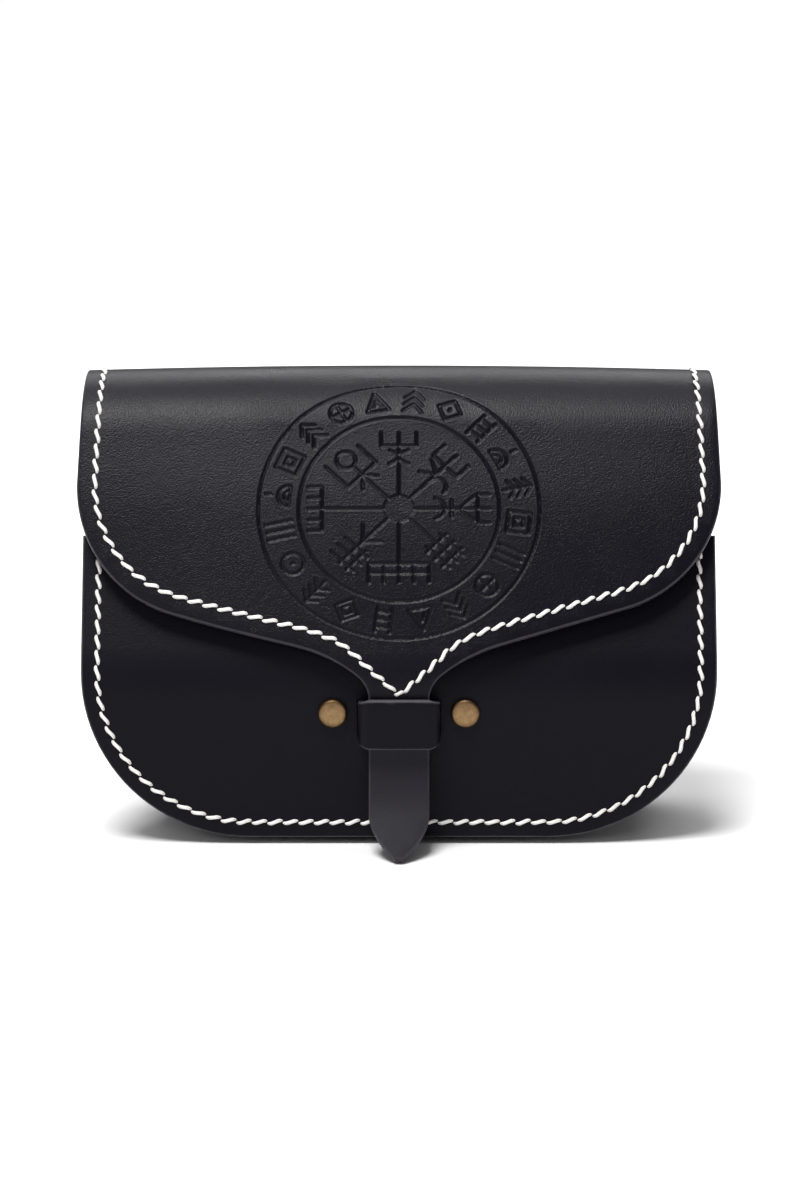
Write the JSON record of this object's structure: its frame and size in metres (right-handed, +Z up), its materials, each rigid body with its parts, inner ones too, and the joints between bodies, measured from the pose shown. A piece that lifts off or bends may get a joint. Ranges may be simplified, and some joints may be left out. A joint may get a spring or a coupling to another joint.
{
  "type": "medieval belt pouch",
  "caption": "Flat belt pouch of thick black leather with a rounded flap that narrows to a pointed tongue under a riveted keeper, a U-shaped gusset and belt loops behind.",
  "frame": {"origin": "on the floor under the middle of the pouch's box, as it stands on the foot of its back and the tip of its tongue", "axes": "+Z up, -Y towards the flap and the front panel, +X across the pouch to the right as seen from the front"},
  "size_m": [0.2034, 0.0988, 0.1449],
  "materials": {
    "black_leather": "smooth, finely grained, with burnished edges",
    "gusset_leather": "softer and matt",
    "aged_brass": "antiqued, softly polished on top",
    "linen_thread": "waxed, twisted, off-white"
  },
  "bodies": {
    "root": {"back_and_flap": "black_leather", "front_panel": "black_leather", "gusset": "gusset_leather", "keeper_loop": "black_leather", "keeper_rivet_left": "aged_brass", "keeper_rivet_right": "aged_brass", "belt_loop_left": "black_leather", "belt_loop_right": "black_leather", "belt_rivet_left_low": "aged_brass", "belt_rivet_left_high": "aged_brass", "belt_rivet_right_low": "aged_brass", "belt_rivet_right_high": "aged_brass"}
  },
  "joints": []
}
